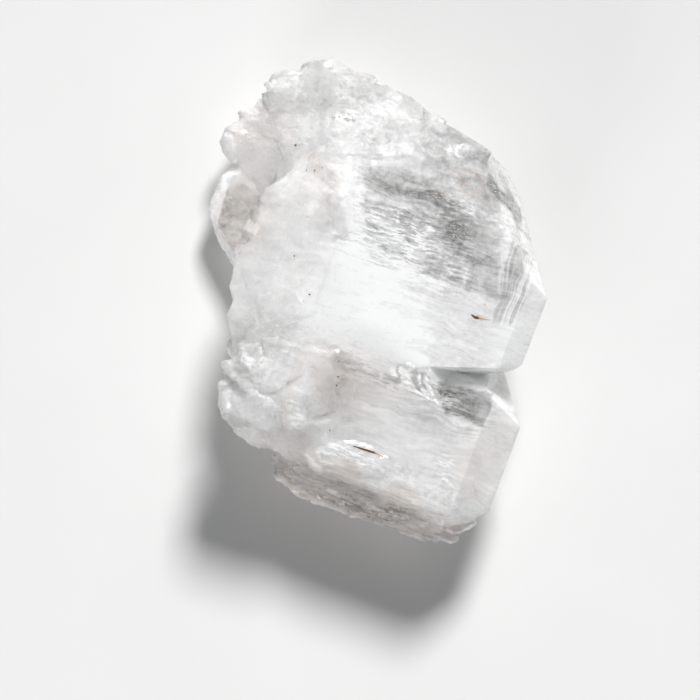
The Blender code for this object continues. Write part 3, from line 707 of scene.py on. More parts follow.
@dataclass
class QuartzPlate:
    """The whole intergrown plate, with the fine surface of its faces, breaks and worn edges."""

    grid_mm: float = 0.36
    weld_mm: float = 0.0001  # closer vertices of the solid are one
    snap_rounds: int = 30
    wear_pulls: tuple = (0.5, -0.52) * 20
    settle_pulls: tuple = (0.5,) * 500  # for ground whose large edges have all but gone
    settle_over_mm: tuple = (4.0, 8.0)  # height where settling starts, and where it is full
    rim_cell_mm: float = 0.5  # squares of the map of the outline
    rim_reach: int = 3  # squares looked at to each side
    rim_share: tuple = (0.68, 0.95)  # taken squares at the rim, and well inside it
    striae_mm: float = 0.030  # height of the growth steps on the prism faces
    striae_pitch_mm: tuple = (1.3, 14.0, 14.0)
    striae_seed: int = 11
    prism_slope: tuple = (0.25, 0.05)  # faces that lean further along the c-axis have none
    rough_mm: float = 0.14  # height of the unevenness on broken ground
    rough_pitch_mm: float = 3.0
    rough_layers: int = 2
    rough_seed: int = 23
    facet_mm: tuple = (0.20, 0.12, 0.07)  # heights of the facets of broken ground
    facet_pitch_mm: tuple = (4.2, 1.8, 0.9)
    facet_length: float = 1.6  # over their width, along the c-axis
    facet_seed: int = 40
    wall_boost: float = 2.0  # facets on walls are this much higher again
    wall_slope: tuple = (0.8, 0.2)  # upward part of the normal where walls start
    top_slope: tuple = (0.0, 0.5)  # and where tops do
    under_mm: float = 0.5  # height of the growth ribs under the plate
    under_pitch_mm: tuple = (11.0, 1.4, 50.0)
    under_layers: int = 3
    under_seed: int = 31
    under_mark: tuple = (0.05, -0.9)  # height and upward part of the normal that they stay below
    crisp_angle: float = math.radians(15.0)
    edge_stray_mm: float = 0.5  # how far straight edges of patches wander
    edge_pitch_mm: float = 2.2
    worn: tuple = (
        Zone(-21.5, 21.0, 9.0, 7.5, 0.9), Zone(-13.0, 25.0, 13.0, 7.0, 0.9),
        Zone(-13.5, 2.0, 6.5, 13.0, 0.45), Zone(-8.5, -17.0, 8.5, 8.5, 0.6),
        Zone(6.0, -26.0, 16.0, 5.0, 0.6), Zone(5.0, -8.8, 10.0, 1.8, 0.8))
    settled: tuple = (
        Zone(-1.0, 19.0, 13.0, 3.0, 0.7), Zone(-10.0, 5.0, 6.5, 14.0, 0.7),
        Zone(-16.0, 21.0, 10.0, 8.0, 0.7), Zone(-6.5, -18.0, 9.5, 9.0, 1.0),
        Zone(-22.3, 13.7, 4.0, 3.2, 0.6), Zone(-13.0, -8.0, 5.0, 4.0, 0.6),
        Zone(-8.0, 26.0, 14.0, 5.0, 0.6), Zone(-2.0, -7.5, 7.0, 3.5, 0.8))
    raised: tuple = (
        Patch(((-16.4, 14.8), (-10.2, 9.2), (-8.5, 6.0), (-7.5, -5.2), (-11.2, -9.0), (-13.5, -9.1),
               (-17.5, -5.1), (-20.6, -0.9), (-18.3, 10.1)), 0.20, 0.4),
        Patch(((-12.8, -10.8), (-7.0, -10.0), (-5.9, -14.2), (-8.0, -16.5), (-10.4, -18.0),
               (-12.4, -14.1)), 0.30, 0.25),
        Patch(((-7.1, -10.0), (-2.8, -8.9), (0.3, -17.2), (-2.5, -19.7),
               (-4.9, -15.9)), 0.22, 0.25),
        Patch(((-16.0, -20.2), (-11.2, -18.0), (-7.7, -19.3), (-7.3, -22.5), (-11.7, -23.5),
               (-15.2, -22.2)), 0.35, 0.3),
        Patch(((-7.3, -17.3), (-6.2, -15.4), (-4.9, -15.9), (-2.8, -21.3),
               (-5.8, -23.1)), 0.25, 0.25),
        Patch(((-0.3, -23.0), (3.3, -20.3), (9.3, -20.3), (10.1, -22.6), (6.3, -24.6),
               (0.7, -24.4)), 0.22, 0.5),
        Patch(((-16.4, -13.3), (-13.2, -11.8), (-11.9, -14.2), (-11.6, -16.8), (-15.4, -17.8),
               (-16.7, -15.7)), 0.35, 0.25),
        Patch(((-29.4, 14.6), (-27.9, 14.7), (-25.8, 12.0), (-26.4, 10.4),
               (-29.2, 13.0)), 0.35, 0.25),
        Patch(((-26.1, 22.0), (-23.3, 24.3), (-20.2, 24.3), (-20.1, 21.6),
               (-24.0, 19.8)), 0.30, 0.25))
    shells: tuple = (
        Shell(-2.8, -16.1, 3.6, 0.3, -63.0), Shell(-8.6, -2.0, 2.6, 0.2, 201.0),
        Shell(-12.0, -19.0, 3.4, 0.3, 230.0))
    coats: tuple = (
        Coat("milk", 0.68, (
            Zone(-1.0, 16.2, 8.5, 2.1, -0.42), Zone(3.5, 12.2, 6.0, 2.2, -0.22),
            Zone(9.0, 12.0, 4.0, 3.0, -0.22), Zone(0.0, 7.0, 9.0, 2.2, -0.14),
            Zone(12.0, 19.5, 3.8, 0.7, -0.50, -48.0, 0.5), Zone(8.5, -9.8, 5.5, 1.5, -0.08),
            Zone(-22.0, 5.5, 4.5, 5.0, -0.06), Zone(-26.5, 15.0, 3.0, 3.5, -0.10),
            Zone(-3.0, -1.0, 12.0, 6.0, 0.40, 0.0, 1.3),
            # Zone(4.5, -6.6) makes the step wall that faces away from the key milkier. This is
            # painted light over the real milky edge.
            Zone(-8.2, 11.8, 6.0, 1.8, 0.30, 111.0, 0.8), Zone(4.5, -6.6, 10.0, 1.1, 0.40),
            Zone(-13.0, 0.0, 5.0, 14.0, -0.10), Zone(-9.5, -3.5, 4.0, 7.5, -0.10),
            Zone(-16.0, -18.8, 2.2, 0.7, -0.45), Zone(-15.0, -15.5, 1.6, 1.4, -0.25),
            Zone(-12.8, -22.8, 3.5, 0.9, -0.25), Zone(-10.0, 26.0, 15.0, 6.0, -0.28),
            Zone(6.0, 24.0, 8.0, 5.0, -0.18), Zone(-13.5, 12.5, 2.5, 3.0, -0.12),
            Zone(-8.0, -17.0, 7.0, 7.0, -0.06), Zone(22.0, 4.0, 4.0, 14.0, 0.14),
            Zone(24.0, -16.0, 4.0, 9.0, 0.08)), (
            Patch(((0.3, 18.3), (6.4, 21.6), (11.4, 19.8), (13.6, 15.1), (13.2, 11.0), (10.3, 9.9),
                   (6.4, 11.1)), -0.26, 1.2),
            Patch(((4.3, 9.4), (10.1, 10.4), (10.9, 5.8), (5.0, 6.0)), -0.20, 0.6),
            Patch(((10.3, 10.5), (14.1, 12.6), (16.0, 6.5), (11.5, 5.7)), -0.30, 0.4),
            Patch(TIP_FACE, -0.22, 0.4),
            Patch(((12.0, -7.6), (20.6, -6.8), (20.7, -11.0), (14.8, -11.5)), -0.48, 0.4),
            Patch(((-9.0, -25.4), (5.1, -25.9), (23.6, -26.6), (25.3, -27.6), (19.7, -30.0),
                   (7.3, -29.9), (-7.0, -28.2)), -0.46, 1.2),
            Patch(LOW_TOP, -0.26, 0.25), Patch(FRONT_TOP, -0.08, 0.5),
            Patch(((-27.6, 5.5), (-27.4, 9.5), (-26.4, 10.3), (-25.6, 4.5), (-25.4, 1.6),
                   (-26.5, 1.9)), 0.22, 0.25),
            # This patch whitens the strip below the step, where the step's wall shades it. This is
            # painted light over real milky quartz.
            Patch(((10.5, -6.0), (18.8, -2.8), (20.6, -4.9), (19.7, -6.8),
                   (12.2, -7.1)), 0.50, 0.4),
            Patch(((-21.2, 4.4), (-19.2, 4.0), (-19.8, 2.0), (-21.4, 2.6)), 0.40))),
        Coat("uneven", 1.0, (
            Zone(22.0, 4.0, 5.0, 18.0, -0.7), Zone(24.0, -16.0, 4.5, 10.0, -0.5),
            Zone(3.0, 0.0, 14.0, 7.0, -0.5), Zone(-14.0, 2.0, 5.0, 10.0, -0.4),
            Zone(9.0, -16.0, 12.0, 6.0, -0.6), Zone(6.0, -28.5, 17.0, 4.5, -0.5))),
        Coat("lines", 0.12, (
            Zone(3.0, 12.0, 15.0, 6.5, 0.12), Zone(1.0, 6.0, 11.0, 3.0, 0.16),
            Zone(-1.5, 13.0, 7.0, 4.0, 0.12), Zone(15.0, -10.0, 6.0, 4.0, 0.16),
            Zone(7.0, -9.4, 7.0, 2.0, 0.25), Zone(10.0, 3.0, 8.0, 6.0, 0.05),
            Zone(6.0, -28.5, 17.0, 4.0, 0.15))),
        # Painted glints: white dashes and specks pushed into the milk where the crystal sparkles in
        # light.
        Coat("glints", 0.0, (
            Zone(-3.0, 11.0, 6.5, 2.6, 1.00), Zone(7.0, 11.5, 6.0, 3.0, 0.40),
            Zone(1.0, 6.5, 10.0, 3.0, 0.62), Zone(7.5, -9.2, 8.0, 1.6, 0.85),
            Zone(3.0, -7.0, 9.0, 1.0, 0.70), Zone(7.0, 16.5, 4.0, 2.5, 0.45),
            Zone(-13.5, 22.6, 2.2, 2.0, 0.90), Zone(-25.4, 20.4, 1.8, 1.5, 0.80),
            Zone(-27.5, 15.4, 1.2, 1.2, 0.80), Zone(-23.0, 15.5, 2.6, 1.2, 0.80),
            Zone(5.4, -22.8, 4.5, 1.2, 0.90), Zone(18.5, -18.9, 1.4, 2.5, 0.70),
            Zone(-21.0, 25.5, 2.0, 1.0, 0.60), Zone(-14.5, -13.5, 1.8, 1.2, 0.90),
            Zone(-5.6, -20.0, 1.6, 1.8, 0.60))),
        Coat("rungs", 0.0, (), (
            Patch(TIP_FACE, 0.40, 0.4), Zone(9.5, 8.0, 4.0, 3.5, 0.10))),
        Coat("frost", 0.35, (
            Zone(-21.0, 18.0, 8.0, 9.0, 0.5), Zone(-12.0, 25.0, 13.0, 6.0, 0.5),
            Zone(-13.0, 0.0, 5.5, 14.0, 0.5), Zone(-8.0, -17.0, 8.0, 8.0, 0.4),
            Zone(6.0, 8.0, 12.0, 12.0, -0.30), Zone(14.0, -10.0, 8.0, 6.0, -0.30))),
        Coat("smoke", 0.0, (
            Zone(0.5, -11.5, 7.0, 4.5, 0.28), Zone(-22.0, 5.0, 5.0, 6.0, 0.40),
            Zone(22.0, -16.0, 3.5, 6.5, 0.3), Zone(6.0, -28.5, 16.0, 4.0, 0.7),
            Zone(-25.0, 17.0, 5.0, 5.0, 0.35), Zone(-13.5, 12.5, 3.0, 4.5, 0.3)), (
            Patch(((-9.7, -23.0), (-3.6, -21.3), (0.5, -22.3), (-1.0, -25.5),
                   (-6.5, -25.8)), 0.35, 0.8),
            Patch(((-8.2, -9.8), (-7.0, -9.4), (-5.3, -21.6), (-6.5, -22.1)), 0.35, 0.4),
            Patch(((-4.6, -13.4), (-1.9, -12.3), (0.3, -17.2), (-2.5, -19.0)), 0.14, 0.5),
            Patch(LOW_TOP, 0.08, 0.25), Patch(FRONT_TOP, 0.10, 0.5))),
        Coat("stain", 0.0, (
            Zone(-6.8, -15.6, 5.6, 0.4, 0.20, 95.0), Zone(-13.3, 30.0, 5.0, 1.2, 0.30),
            Zone(5.5, 19.6, 4.0, 1.0, 0.30), Zone(-15.4, 15.2, 1.0, 3.0, 0.30, 20.0),
            Zone(-10.8, -1.0, 0.8, 3.0, 0.28), Zone(-14.0, -9.5, 3.0, 0.6, 0.28),
            Zone(-1.5, -11.5, 0.5, 3.0, 0.30), Zone(23.0, -20.3, 1.2, 1.6, 0.30),
            Zone(-1.0, -19.4, 3.0, 0.4, 0.34))))

    def regrid(self, solid: Object) -> tuple:
        """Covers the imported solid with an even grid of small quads.

        The solid is resampled on cubes of grid_mm, each new vertex is pulled to the nearest
        point of the solid, and each quad notes the normal of the facet nearest to it.

        Args:
            solid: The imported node.

        Returns:
            Vertex places (N by 3), quad corners (F by 4) and facet normals (F by 3).
        """
        welded = solid.data.copy()
        cage = bmesh.new()
        cage.from_mesh(welded)
        bmesh.ops.remove_doubles(cage, verts=cage.verts, dist=self.weld_mm * MM)
        cage.to_mesh(welded)
        cage.free()
        grid = new_object("regrid", welded)
        cubes = grid.modifiers.new("cubes", "REMESH")
        cubes.mode = "VOXEL"
        cubes.voxel_size = self.grid_mm * MM
        cubes.adaptivity = 0.0
        pull = grid.modifiers.new("pull", "SHRINKWRAP")
        pull.target = solid
        note = grid.modifiers.new("note", "NODES")
        note.node_group = self.facet_note(solid)
        mesh = bpy.data.meshes.new_from_object(
            grid.evaluated_get(bpy.context.evaluated_depsgraph_get()))
        corners = np.empty(len(mesh.loops), np.int32)
        mesh.loops.foreach_get("vertex_index", corners)
        facets = np.empty(len(mesh.polygons) * 3)
        mesh.attributes["facet"].data.foreach_get("vector", facets)
        places = read_places(mesh)
        bpy.data.objects.remove(grid)
        return places, corners.reshape(-1, 4), facets.reshape(-1, 3)

    def facet_note(self, solid: Object) -> NodeTree:
        """Makes the modifier that notes the solid's nearest facet on every face.

        Args:
            solid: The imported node.

        Returns:
            A node group that stores that facet's normal under the name facet.
        """
        tree = bpy.data.node_groups.new("facet_note", "GeometryNodeTree")
        for way in ("INPUT", "OUTPUT"):
            tree.interface.new_socket("Geometry", in_out=way, socket_type="NodeSocketGeometry")
        start = add_node(tree, "NodeGroupInput")
        target = add_node(tree, "GeometryNodeObjectInfo", {"Object": solid}, "Geometry")
        normal = add_node(tree, "GeometryNodeInputNormal")
        nearest = add_node(tree, "GeometryNodeSampleNearestSurface", {
            "Mesh": target, "Value": normal}, "Value", data_type="FLOAT_VECTOR")
        noted = add_node(tree, "GeometryNodeStoreNamedAttribute", {
            "Geometry": start, "Name": "facet", "Value": nearest},
            data_type="FLOAT_VECTOR", domain="FACE")
        add_node(tree, "NodeGroupOutput", {"Geometry": noted})
        return tree

    def snap(self, places: Array, quads: Array, facets: Array) -> Array:
        """Moves vertices until every quad lies in the plane of its facet, which makes the
        edges between facets crisp.

        Each round, a vertex moves by the mean, over its quads, of the step along the facet's
        normal that would bring it level with the quad's middle.

        Args:
            places: Vertex places.
            quads: Corners of each quad.
            facets: Unit normal of each quad's facet.

        Returns:
            The new places.
        """
        at = quads.T.ravel()
        uses = np.bincount(at, minlength=len(places))[:, None]
        for _ in range(self.snap_rounds):
            offset = places[quads].mean(axis=1) - places[quads.T]
            step = np.einsum("kij,ij->ki", offset, facets)[:, :, None] * facets
            places = places + summed(step.reshape(-1, 3), at, len(places)) / uses
        return places

    def inland(self, stz: Array) -> Array:
        """How far inside the outline each vertex lies, seen from above.

        A map of small squares notes where there is any vertex. The share of taken squares in a
        wider square around a vertex is a half at a straight rim and 1 well inside it.

        Args:
            stz: Places in the crystals' axes.

        Returns:
            0 up to a little way in from the rim, easing to 1 further in.
        """
        reach = self.rim_reach
        cell = ((stz[:, :2] - stz[:, :2].min(axis=0)) / self.rim_cell_mm).astype(int) + reach + 1
        taken = np.zeros(cell.max(axis=0) + reach + 1)
        taken[cell[:, 0], cell[:, 1]] = 1
        sums = taken.cumsum(axis=0).cumsum(axis=1)
        (right, back), (left, front) = (cell + reach).T, (cell - reach - 1).T
        around = sums[right, back] - sums[left, back] - sums[right, front] + sums[left, front]
        return eased(around / (2 * reach + 1) ** 2, *self.rim_share)

    def evened(self, places: Array, quads: Array) -> Array:
        """Rounds the worn ground, and evens out the top in the settled zones.

        Wear pulls a vertex to the mean of its neighbours and then back by slightly more, round
        by round, which keeps the large shape. Settling only pulls, which irons out lumps and
        folds alike, and leaves the outline and the underside alone.

        Args:
            places: Vertex places.
            quads: Corners of each quad.

        Returns:
            The new places.
        """
        worn = add_up(self.worn, warped(AXES.inside(places)))
        places = relaxed(places, quads, worn, self.wear_pulls)
        stz = AXES.inside(places)
        above = eased(stz[:, 2], *self.settle_over_mm)
        share = above * self.inland(stz) * add_up(self.settled, warped(stz))
        return relaxed(places, quads, share, self.settle_pulls)

    def normals(self, places: Array, quads: Array) -> Array:
        """Vertex normals: the sum of the neighbouring quads' diagonal cross products.

        Args:
            places: Vertex places.
            quads: Corners of each quad.

        Returns:
            One unit vector for each vertex.
        """
        corner = places[quads]
        across = np.cross(corner[:, 2] - corner[:, 0], corner[:, 3] - corner[:, 1])
        total = summed(np.tile(across, (4, 1)), quads.T.ravel(), len(places))
        return total / np.maximum(np.linalg.norm(total, axis=1, keepdims=True), TINY)

    def relief(self, stz: Array, normal: Array) -> Array:
        """Height of the fine relief at each vertex, in millimetres.

        Growth steps are noise drawn out across the c-axis, on faces that run along it. Worn and
        broken ground has layered noise and flat facets of several sizes, higher on walls. Where
        the plate faces up, shell-shaped scars and raised crystals are added. The hidden
        underside has ribs drawn out along the c-axis.

        Args:
            stz: Places in the crystals' axes.
            normal: Unit normals in the crystals' axes.

        Returns:
            One height for each vertex.
        """
        worn = add_up(self.worn, warped(stz))
        prism = eased(np.abs(normal[:, 0]), *self.prism_slope) * (1 - worn)
        steps = lattice_noise(stz / self.striae_pitch_mm, self.striae_seed)
        wall = eased(normal[:, 2], *self.wall_slope)
        broken = self.rough_mm * layered_noise(
            stz / self.rough_pitch_mm, self.rough_seed, self.rough_layers)
        for n, (high, pitch) in enumerate(zip(self.facet_mm, self.facet_pitch_mm)):
            cell = (self.facet_length * pitch, pitch, pitch)
            ground = cell_facets(stz / cell, self.facet_seed + n)
            broken = broken + high * ground * (1 + self.wall_boost * wall)
        slight = warped(stz, self.edge_stray_mm, self.edge_pitch_mm)
        scars = (sum(shell.height(stz) for shell in self.shells)
                 + sum(patch.share(slight) for patch in self.raised))
        low, down = self.under_mark
        under = (stz[:, 2] < low) & (normal[:, 2] < down)
        ribs = np.abs(layered_noise(stz / self.under_pitch_mm, self.under_seed, self.under_layers))
        height = (self.striae_mm * steps * prism + broken * worn
                  + scars * eased(normal[:, 2], *self.top_slope))
        return np.where(under, -self.under_mm * ribs, height)

    def build(self) -> Object:
        """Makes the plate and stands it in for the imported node.

        Returns:
            The finished object.
        """
        places, quads, facets = self.regrid(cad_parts[NODE])
        places = self.evened(self.snap(places, quads, facets), quads)
        normal = self.normals(places, quads) @ AXES.turn().T
        stz = AXES.inside(places)
        stz = stz + normal * self.relief(stz, normal)[:, None]
        places = np.clip(AXES.outside(stz), *np.array(CAD_BOX))
        mesh = mesh_from_arrays("quartz_plate", places, quads)
        plate = new_object("quartz_plate", mesh)
        mesh.shade_smooth()
        mesh.set_sharp_from_angle(angle=self.crisp_angle)
        stz = AXES.inside(places)
        far, near = warped(stz), warped(stz, self.edge_stray_mm, self.edge_pitch_mm)
        for coat in self.coats:
            paint(mesh, coat.name, coat.over(far, near))
        mesh.materials.append(GrownQuartz().make())
        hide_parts(NODE)
        return plate


@dataclass(frozen=True)
class Swarm:
    """A cloud of flakes inside the quartz, in millimetres in the crystals' axes."""

    middle: tuple  # (s, t, z)
    half: tuple  # half extents along s, t and z
    count: int
    length: tuple  # shortest and longest flake
    width: tuple
    lean: float = 6.0  # degrees that a flake strays from the c-axis
    flat: float = 1.0  # 1: any turn about its length, 0: lying level


@dataclass
class HealedCracks:
    """Thin flakes drawn out along the c-axis: the glinting streaks inside the crystals."""

    seed: int = 5
    thin: float = 0.06  # thickness over width
    spread: float = 0.5  # deviation of the flakes' places, over the half extents
    swarms: tuple = (
        Swarm((-1.5, 10.0, 15.5), (7.5, 3.2, 2.5), 420, (1.0, 4.5), (0.10, 0.34)),
        Swarm((0.0, 3.0, 13.5), (10.0, 7.0, 3.5), 700, (0.8, 4.0), (0.08, 0.30)),
        Swarm((9.0, 11.5, 15.0), (6.5, 5.0, 3.0), 260, (0.8, 3.6), (0.08, 0.24)),
        Swarm((5.0, 17.0, 13.0), (8.0, 3.0, 2.5), 160, (0.6, 2.6), (0.08, 0.20)),
        Swarm((8.0, -9.5, 12.5), (8.0, 2.0, 2.5), 260, (0.6, 2.6), (0.10, 0.32), 14.0),
        Swarm((14.0, -14.0, 13.0), (6.0, 3.0, 2.5), 160, (0.6, 2.6), (0.10, 0.28), 10.0),
        Swarm((5.0, -22.0, 14.0), (6.0, 1.6, 1.6), 200, (0.4, 1.6), (0.15, 0.45), 30.0),
        Swarm((-13.5, 21.5, 16.5), (1.6, 1.8, 1.0), 90, (0.4, 1.2), (0.2, 0.5), 40.0),
        Swarm((6.7, 10.4, 20.3), (0.0, 0.0, 0.0), 1, (6.3, 6.3), (0.3, 0.3), 0.5, 0.0),
        Swarm((8.0, 11.5, 20.2), (7.0, 4.0, 0.1), 60, (0.5, 2.4), (0.08, 0.16), 4.0, 0.2))

    def flakes(self, swarm: Swarm, rng: np.random.Generator) -> tuple:
        """Places and shades of one swarm's flakes.

        A flake is a drawn-out hexagon with a low peak on either side: six rim points at
        half its length and a quarter of it, half its width to either side, and the two peaks.

        Args:
            swarm: Where the flakes are, and their sizes.
            rng: Source of the random draws.

        Returns:
            Places (N by 8 by 3, millimetres in the crystals' axes) and shades (N).
        """
        spread = rng.normal(0.0, self.spread, (swarm.count, 3))
        middle = np.array(swarm.middle) + np.clip(spread, -1, 1) * np.array(swarm.half)
        lean = np.radians(rng.normal(0.0, swarm.lean, (swarm.count, 2)))
        along = np.stack([np.ones(swarm.count), np.sin(lean[:, 0]), np.sin(lean[:, 1])], axis=1)
        along /= np.linalg.norm(along, axis=1, keepdims=True)
        turn = rng.uniform(-np.pi / 2, np.pi / 2, swarm.count) * swarm.flat
        level = np.cross([0.0, 0.0, 1.0], along)
        level /= np.linalg.norm(level, axis=1, keepdims=True)
        side = level * np.cos(turn)[:, None] + np.cross(along, level) * np.sin(turn)[:, None]
        peak = np.cross(along, side)
        long = along * rng.uniform(*swarm.length, (swarm.count, 1))
        wide = side * rng.uniform(*swarm.width, (swarm.count, 1))
        high = peak * np.linalg.norm(wide, axis=1, keepdims=True) * self.thin
        rim = [long / 2, long / 4 + wide / 2, -long / 4 + wide / 2, -long / 2,
               -long / 4 - wide / 2, long / 4 - wide / 2]
        places = middle[:, None, :] + np.stack(rim + [high, -high], axis=1)
        return places, rng.uniform(0, 1, swarm.count)

    def build(self) -> Object:
        """Joins every swarm into one mesh.

        Returns:
            The finished object.
        """
        rng = np.random.default_rng(self.seed)
        made = [self.flakes(swarm, rng) for swarm in self.swarms]
        places = np.concatenate([part for part, _ in made])
        shades = np.concatenate([part for _, part in made])
        rim = np.arange(6)
        beside = np.roll(rim, -1)
        peaks = np.full((2, 6), [[6], [7]])
        one = np.stack([[rim, beside], [beside, rim], peaks], axis=-1).reshape(-1, 3)
        corners = one + 8 * np.arange(len(places))[:, None, None]
        mesh = mesh_from_arrays("healed_cracks", AXES.outside(places.reshape(-1, 3)),
                                corners.reshape(-1, 3))
        paint(mesh, "shade", np.repeat(shades, 8))
        mesh.materials.append(PearlyCrack().make())
        cracks = new_object("healed_cracks", mesh)
        return cracks


@dataclass(frozen=True)
class Needle:
    """A needle or crumb of iron oxide, in millimetres in the crystals' axes."""

    path: tuple  # (s, t) places along it
    width: float
    film_from: float = 1.0  # share of its length past which it is a thin orange film
    sunk: float = 0.3  # share of its radius that its middle lies below the top


@dataclass
class IronNeedles:
    """Two needles of iron oxide in the top faces, and the rust crumbs scattered about them."""

    seed: int = 9
    rings: int = 18
    sides: int = 8
    near_mm: float = 0.4  # about the spacing of the plate's vertices
    film_ease: float = 0.1  # share of a needle's length over which it thins
    film_slim: float = 0.55  # how much narrower the film is
    needles: tuple = (
        Needle(((13.2, 2.9), (13.9, 2.7), (14.6, 2.8), (16.2, 3.1)), 0.42, 0.55),
        Needle(((4.1, -20.6), (6.0, -20.5), (7.6, -20.4), (9.6, -20.5)), 0.30, 0.62))
    fibre_mm: float = 0.09
    fibres: tuple = (
        ((2.2, 21.2), (4.6, 20.9), (6.2, 19.6)), ((3.4, 21.6), (6.4, 21.9), (9.0, 21.0)),
        ((6.2, 22.4), (8.4, 20.6), (10.0, 18.4)), ((5.2, 18.9), (7.4, 18.7), (9.4, 18.6)),
        ((1.4, 18.2), (3.2, 17.2), (5.0, 17.3)))
    crumbs: tuple = (
        (-18.8, 16.7), (-13.1, 1.6), (-12.9, 1.3), (-2.0, -10.1), (-1.3, -12.1), (-1.0, -13.3),
        (3.5, 14.3), (4.2, 14.6), (-9.7, -18.3), (-12.1, -14.1), (14.9, 5.4), (14.6, 4.9),
        (-13.9, 14.8), (-14.8, 14.1), (-15.9, 13.7), (-9.2, -2.6), (-9.6, -3.8), (0.4, -19.7))
    crumb_mm: tuple = (0.16, 0.34)

    def height_over(self, plate: Array, places: Array) -> Array:
        """The plate's height above each place: that of the highest of its vertices near by.

        Args:
            plate: Places of the plate's vertices in the crystals' axes.
            places: (s, t) places.

        Returns:
            One height for each place, in millimetres.
        """
        reach = np.hypot(plate[None, :, 0] - places[:, :1], plate[None, :, 1] - places[:, 1:2])
        return np.where(reach < self.near_mm, plate[None, :, 2], 0.0).max(axis=1)

    def spindle(self, needle: Needle, plate: Array) -> tuple:
        """One closed spindle laid along its path on the plate.

        Its rings' radius is half the width times the square root of the sine of pi times the
        share of the length, so that both ends come to a point.

        Args:
            needle: Path and width.
            plate: Places of the plate's vertices in the crystals' axes.

        Returns:
            Places, triangles and how thin the film is at each place.
        """
        share = (np.arange(self.rings) + 0.5) / self.rings
        knots = np.linspace(0, 1, len(needle.path))
        middle = np.stack([np.interp(share, knots, line) for line in zip(*needle.path)], axis=1)
        thin = eased(share, needle.film_from, needle.film_from + self.film_ease)
        radius = needle.width / 2 * np.sqrt(np.sin(np.pi * share)) * (1 - self.film_slim * thin)
        height = self.height_over(plate, middle) - needle.sunk * radius
        middle = np.column_stack([middle, height])
        along = np.gradient(middle, axis=0)
        along /= np.linalg.norm(along, axis=1, keepdims=True)
        across = np.cross([0.0, 0.0, 1.0], along)
        across /= np.linalg.norm(across, axis=1, keepdims=True)
        angle = np.arange(self.sides) * 2 * np.pi / self.sides
        ring = (np.cos(angle)[None, :, None] * across[:, None]
                + np.sin(angle)[None, :, None] * np.cross(along, across)[:, None])
        rings = middle[:, None] + radius[:, None, None] * ring
        places = np.concatenate([rings.reshape(-1, 3), middle[:1], middle[-1:]])
        here = np.arange(self.rings * self.sides).reshape(self.rings, self.sides)
        beside = np.roll(here, -1, axis=1)
        walls = np.stack([here[:-1], beside[:-1], beside[1:],
                          here[:-1], beside[1:], here[1:]], axis=-1)
        tips = np.full((2, self.sides), [[here.size], [here.size + 1]])
        caps = np.stack([[beside[0], here[-1]], [here[0], beside[-1]], tips], axis=-1)
        faces = np.concatenate([walls.reshape(-1, 3), caps.reshape(-1, 3)])
        return places, faces, np.concatenate([np.repeat(thin, self.sides), thin[:1], thin[-1:]])

    def build(self, plate: Object) -> Object:
        """Lays every needle and crumb on the plate, as one mesh.

        Args:
            plate: The finished plate.

        Returns:
            The finished object.
        """
        rng = np.random.default_rng(self.seed)
        ground = AXES.inside(read_places(plate.data))
        needles = [*self.needles, *(Needle(path, self.fibre_mm, 0.0) for path in self.fibres)]
        for s, t in self.crumbs:
            width = rng.uniform(*self.crumb_mm)
            reach = rng.normal(0.0, width / 2, 2)
            needles.append(Needle(((s, t), (s + reach[0], t + reach[1])), width, rng.uniform(0, 1)))
        places, corners, thin, count = [], [], [], 0
        for needle in needles:
            spots, faces, shares = self.spindle(needle, ground)
            places.append(spots)
            corners.append(faces + count)
            thin.append(shares)
            count += len(spots)
        mesh = mesh_from_arrays("iron_needles", AXES.outside(np.concatenate(places)),
                                np.concatenate(corners))
        mesh.shade_smooth()
        paint(mesh, "thin", np.concatenate(thin))
        mesh.materials.append(IronOxide().make())
        iron = new_object("iron_needles", mesh)
        return iron


# ---- The studio ------------------------------------------------------------------------------


@dataclass(frozen=True)
class Lamp:
    """A wide soft lamp, so far away that it lights the whole floor alike."""

    name: str
    direction: tuple  # from the plate towards it
    width: float  # degrees, as seen from the plate
    strength: float  # watts that reach each square metre facing it

    def hang(self) -> None:
        """Links the lamp into the scene, facing the plate."""
        lamp = new_object(self.name, bpy.data.lights.new(self.name, "SUN"))
        lamp.data.angle = math.radians(self.width)
        lamp.data.energy = self.strength
        lamp.location = self.direction
        lamp.rotation_mode = "QUATERNION"
        lamp.rotation_quaternion = (-lamp.location).to_track_quat("-Z", "Y")


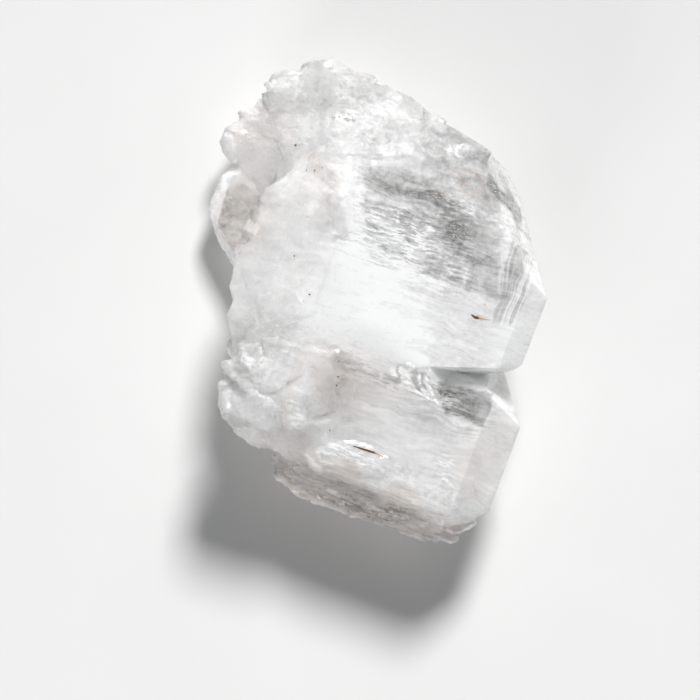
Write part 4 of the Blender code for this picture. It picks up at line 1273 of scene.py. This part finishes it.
@dataclass
class Studio:
    """Camera looking straight down, matt white floor, soft key and fill lamps, a pale dome."""

    view_middle_mm: tuple = (-3.8, -7.1, 12.0)  # middle of the view, in the row frame
    view_width_mm: float = 100.45
    lens_mm: float = 300.0
    sensor_mm: float = 36.0
    floor_drop_mm: float = 0.05
    floor_m: float = 6.0
    lamps: tuple = (Lamp("key", (0.20, 0.72, 0.66), 14.0, 4.05),
                    Lamp("fill", (-0.45, -0.85, 0.30), 27.0, 1.27))
    dome_top: str = "A9ADB3"
    dome_rim: str = "D6D6D4"
    # Light by the sine of the height: a bright skyline, seen only from low angles, and above it
    # the even dome.
    shine: Ramp = Ramp(0.02, 0.08, 1.2, 0.28)
    bounces: int = 20

    def camera(self) -> None:
        """A long lens far above the plate, so that the view is close to a parallel one."""
        camera = new_object("camera", bpy.data.cameras.new("camera"))
        camera.data.lens = self.lens_mm
        camera.data.sensor_width = self.sensor_mm
        x, y, z = self.view_middle_mm
        distance = self.view_width_mm * self.lens_mm / self.sensor_mm
        camera.location = (x * MM, y * MM, (z + distance) * MM)
        bpy.context.scene.camera = camera

    def floor(self) -> None:
        """The matt white board under the plate."""
        half = self.floor_m / 2
        corners = np.array([[-half, -half, 0], [half, -half, 0], [half, half, 0], [-half, half, 0]])
        corners[:, 2] = -self.floor_drop_mm * MM
        floor = new_object("floor", mesh_from_arrays("floor", corners, np.array([[0, 1, 2, 3]])))
        floor.data.materials.append(PaintedFloor().make())

    def dome(self) -> None:
        """A pale dome, darker overhead than at its rim, with a bright narrow skyline."""
        world = bpy.data.worlds.new("dome")
        tree = emptied(world)
        place = add_node(tree, "ShaderNodeTexCoord", out="Generated")
        height = add_node(tree, "ShaderNodeSeparateXYZ", {"Vector": place}, "Z")
        light = add_node(tree, "ShaderNodeBackground", {
            "Color": add_node(tree, "ShaderNodeMix", {
                "Factor": height, 6: linear(self.dome_rim), 7: linear(self.dome_top)},
                2, data_type="RGBA"),
            "Strength": add_node(tree, "ShaderNodeMapRange", self.shine.of(height))})
        add_node(tree, "ShaderNodeOutputWorld", {"Surface": light})
        bpy.context.scene.world = world

    def build(self) -> None:
        """Sets the whole studio up, with colours shown as plain sRGB."""
        self.camera()
        self.floor()
        for lamp in self.lamps:
            lamp.hang()
        self.dome()
        scene = bpy.context.scene
        scene.view_settings.view_transform = "Standard"
        scene.cycles.max_bounces = self.bounces
        scene.cycles.diffuse_bounces = self.bounces // 2
        scene.cycles.transmission_bounces = self.bounces


def main() -> None:
    """Builds the studio and the pieces in order, and reports each piece."""
    logging.basicConfig(level=logging.INFO, format="%(name)s: %(message)s")
    Studio().build()
    plate = QuartzPlate().build()
    pieces = [plate, HealedCracks().build(), IronNeedles().build(plate)]
    for piece in pieces:
        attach(piece, BODY)
        log.info("%s: %d faces", piece.name, len(piece.data.polygons))


if __name__ == "__main__":
    main()
